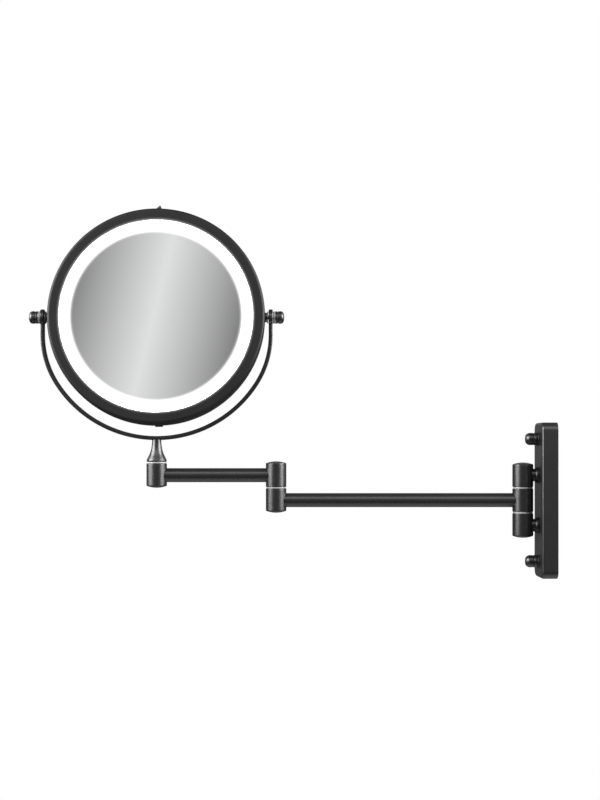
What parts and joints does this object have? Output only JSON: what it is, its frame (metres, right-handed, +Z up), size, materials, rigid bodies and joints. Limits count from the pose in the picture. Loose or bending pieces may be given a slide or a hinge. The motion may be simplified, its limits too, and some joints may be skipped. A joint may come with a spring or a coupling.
{
  "type": "extendable shaving mirror",
  "caption": "Round lit shaving mirror, double-sided and tilting in a U-shaped yoke, on a folding two-part swing arm with a rectangular wall plate.",
  "frame": {"origin": "middle of the wall plate's back face, where it meets the wall", "axes": "+X into the wall, so the arms reach out along -X, -Y towards the user of the lit mirror, +Z up"},
  "size_m": [0.525, 0.0462, 0.3729],
  "materials": {
    "satin_black_metal": "satin black powder coat on steel",
    "matte_black_plastic": "matt black moulding",
    "nylon": "translucent pale nylon",
    "steel": "zinc-plated steel",
    "brass": "turned brass",
    "mirror_glass": "silvered glass",
    "opal_light": "frosted white diffuser, lit from behind",
    "white_board": "white circuit board with LEDs",
    "green_board": "green circuit board",
    "cell_sleeve": "plain printed sleeve",
    "red_wire": "insulated wire",
    "black_wire": "insulated wire"
  },
  "bodies": {
    "wall_bracket": {"wall_plate_cover": "satin_black_metal", "mounting_bracket": "satin_black_metal", "stud_upper": "steel", "stud_lower": "steel", "cap_washer_upper": "satin_black_metal", "cap_washer_lower": "satin_black_metal", "cap_nut_upper": "satin_black_metal", "cap_nut_lower": "satin_black_metal", "hinge_post_upper": "satin_black_metal", "hinge_post_lower": "satin_black_metal", "post_screw_upper": "steel", "post_screw_lower": "steel", "bracket_barrel_upper": "satin_black_metal", "bracket_barrel_lower": "satin_black_metal", "wall_hinge_pin": "steel"},
    "long_arm": {"long_tube": "satin_black_metal", "long_arm_wall_barrel": "satin_black_metal", "long_arm_elbow_barrel": "satin_black_metal", "wall_washer_upper": "nylon", "wall_washer_lower": "nylon", "elbow_washer": "nylon", "elbow_pin": "steel"},
    "short_arm": {"short_tube": "satin_black_metal", "short_arm_elbow_barrel": "satin_black_metal", "neck_barrel": "satin_black_metal", "neck_washer": "nylon", "neck_pin": "steel"},
    "yoke": {"yoke_neck": "satin_black_metal", "yoke_bar": "satin_black_metal", "outer_washer_left": "nylon", "outer_washer_right": "nylon"},
    "head": {"front_bezel": "matte_black_plastic", "front_mirror": "mirror_glass", "light_diffuser": "opal_light", "led_board": "white_board", "head_housing": "matte_black_plastic", "battery_cell_1": "cell_sleeve", "battery_cell_2": "cell_sleeve", "battery_cell_3": "cell_sleeve", "battery_contact_left": "brass", "battery_contact_right": "brass", "driver_board": "green_board", "board_screw_left": "steel", "board_screw_right": "steel", "switch_body": "matte_black_plastic", "battery_wire": "red_wire", "led_wire": "black_wire", "pivot_bush_left": "satin_black_metal", "pivot_bush_right": "satin_black_metal", "inner_washer_left": "nylon", "inner_washer_right": "nylon"},
    "rear_cover": {"rear_rim": "matte_black_plastic", "magnifying_mirror": "mirror_glass"},
    "light_switch": {"switch_slider": "satin_black_metal"},
    "left_knob": {"knob_cap_left": "satin_black_metal", "knob_stem_left": "steel"},
    "right_knob": {"knob_cap_right": "satin_black_metal", "knob_stem_right": "steel"}
  },
  "joints": [
    {"name": "wall_swing", "type": "hinge", "parent": "wall_bracket", "child": "long_arm", "pos_m": [-0.0314, 0, 0], "axis": [0, 0, 1], "range_deg": [-90, 90]},
    {"name": "elbow_swing", "type": "hinge", "parent": "long_arm", "child": "short_arm", "pos_m": [-0.2781, 0, 0.025], "axis": [0, 0, 1], "continuous": true},
    {"name": "neck_swivel", "type": "hinge", "parent": "short_arm", "child": "yoke", "pos_m": [-0.3975, 0, 0.045], "axis": [0, 0, 1], "continuous": true},
    {"name": "head_tilt", "type": "hinge", "parent": "yoke", "child": "head", "pos_m": [-0.3975, 0, 0.1826], "axis": [1, 0, 0], "continuous": true},
    {"name": "left_knob_turn", "type": "hinge", "parent": "head", "child": "left_knob", "pos_m": [-0.3975, 0, 0.1826], "axis": [1, 0, 0], "continuous": true},
    {"name": "right_knob_turn", "type": "hinge", "parent": "head", "child": "right_knob", "pos_m": [-0.3975, 0, 0.1826], "axis": [1, 0, 0], "continuous": true},
    {"name": "light_switch_slide", "type": "slide", "parent": "head", "child": "light_switch", "axis": [1, 0, 0], "range_m": [-0.004, 0]},
    {"name": "rear_cover_pull", "type": "slide", "parent": "head", "child": "rear_cover", "axis": [0, 0.9962, -0.0872], "range_m": [0, 0.03]}
  ]
}
